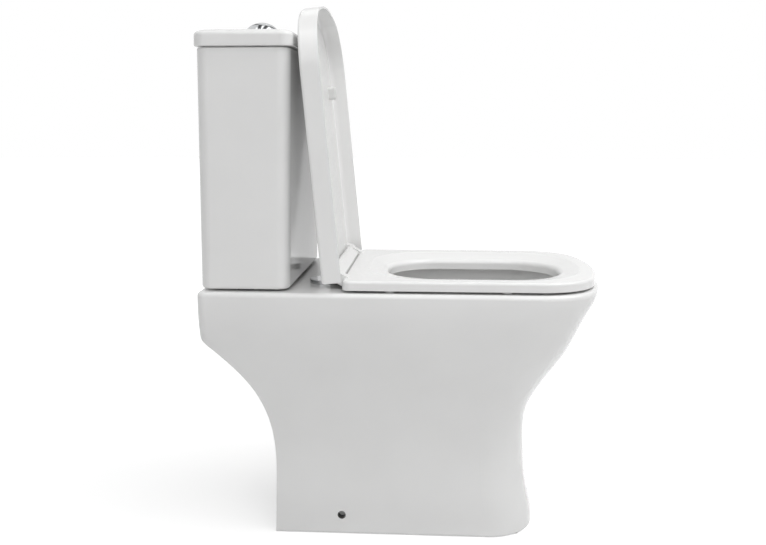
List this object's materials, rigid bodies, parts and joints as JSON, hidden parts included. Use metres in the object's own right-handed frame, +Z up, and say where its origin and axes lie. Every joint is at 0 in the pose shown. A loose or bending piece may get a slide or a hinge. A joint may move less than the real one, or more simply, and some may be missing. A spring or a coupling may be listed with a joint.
{
  "type": "close coupled toilet",
  "caption": "Close coupled toilet: china pan and cistern, wrap-over soft close lid, seat, dual flush button, flush and fill valves.",
  "frame": {"origin": "floor level, under the middle of the toilet's overall box", "axes": "+Z up, -Y towards the front of the pan, +Y towards the wall, X across"},
  "size_m": [0.3552, 0.61, 0.8321],
  "materials": {
    "china": "gloss white glaze",
    "seat_plastic": "gloss white moulded",
    "chrome": "polished",
    "steel": "zinc plated",
    "rubber": "matt black",
    "rubber_white": "matt white",
    "valve_plastic": "satin white moulded"
  },
  "bodies": {
    "toilet": {"pan": "china", "cistern": "china", "cistern_pads": "rubber", "cistern_bolts": "steel", "bolt_seals": "rubber", "bolt_washers": "steel", "bolt_wing_nuts": "steel", "doughnut_seal": "rubber", "flush_valve_base": "valve_plastic", "flush_valve_washer": "rubber", "flush_valve_back_nut": "valve_plastic", "flush_valve_tower": "valve_plastic", "fill_valve_body": "valve_plastic", "fill_valve_washer": "rubber", "fill_valve_back_nut": "valve_plastic", "fill_valve_head": "valve_plastic", "fill_valve_arm_pin": "steel", "hinge_bar": "seat_plastic", "hinge_discs": "chrome", "hinge_dampers": "steel", "hinge_pins": "steel", "hinge_studs": "steel", "hinge_bushes": "rubber", "hinge_wing_nuts": "valve_plastic"},
    "cistern_cover": {"cistern_lid": "china", "button_bezel": "chrome", "button_ring_nut": "valve_plastic"},
    "full_flush": {"full_flush_button": "chrome", "full_flush_rod": "valve_plastic"},
    "half_flush": {"half_flush_button": "chrome", "half_flush_rod": "valve_plastic"},
    "full_plunger": {"full_flush_plunger": "valve_plastic"},
    "half_plunger": {"half_flush_plunger": "valve_plastic"},
    "valve_tube": {"overflow_tube": "valve_plastic", "overflow_seal": "rubber"},
    "float": {"fill_valve_float": "valve_plastic"},
    "float_arm": {"fill_valve_arm": "valve_plastic"},
    "seat": {"seat": "seat_plastic", "seat_buffers": "rubber_white"},
    "lid": {"lid": "seat_plastic", "lid_buffers": "rubber_white"}
  },
  "joints": [
    {"name": "lid_hinge", "type": "hinge", "parent": "toilet", "child": "lid", "pos_m": [0, 0.106, 0.421], "axis": [1, 0, 0], "range_deg": [0, 95.5]},
    {"name": "seat_hinge", "type": "hinge", "parent": "toilet", "child": "seat", "pos_m": [0, 0.106, 0.421], "axis": [1, 0, 0], "range_deg": [-95, 0]},
    {"name": "cover_lift", "type": "slide", "parent": "toilet", "child": "cistern_cover", "axis": [0, 0, 1], "range_m": [0, 0.25]},
    {"name": "full_flush_press", "type": "slide", "parent": "cistern_cover", "child": "full_flush", "axis": [0, 0, -1], "range_m": [0, 0.008], "stiffness_N_per_m": 400, "springref_m": -0.003},
    {"name": "half_flush_press", "type": "slide", "parent": "cistern_cover", "child": "half_flush", "axis": [0, 0, -1], "range_m": [0, 0.008], "stiffness_N_per_m": 400, "springref_m": -0.003},
    {"name": "full_plunger_press", "type": "slide", "parent": "toilet", "child": "full_plunger", "axis": [0, 0, -1], "range_m": [0, 0.008]},
    {"name": "half_plunger_press", "type": "slide", "parent": "toilet", "child": "half_plunger", "axis": [0, 0, -1], "range_m": [0, 0.008]},
    {"name": "tube_lift", "type": "slide", "parent": "toilet", "child": "valve_tube", "axis": [0, 0, 1], "range_m": [0, 0.02]},
    {"name": "float_rise", "type": "slide", "parent": "toilet", "child": "float", "axis": [0, 0, 1], "range_m": [0, 0.012]},
    {"name": "float_arm_swing", "type": "hinge", "parent": "toilet", "child": "float_arm", "pos_m": [0.112, 0.255, 0.678], "axis": [0, -1, 0], "range_deg": [0, 27.6]}
  ],
  "couplings": [
    {"joint": "tube_lift", "follows": "full_flush_press", "ratio": 2.5},
    {"joint": "full_plunger_press", "follows": "full_flush_press", "ratio": 1},
    {"joint": "half_plunger_press", "follows": "half_flush_press", "ratio": 1},
    {"joint": "float_arm_swing", "follows": "float_rise", "rad_per_m": 40}
  ]
}
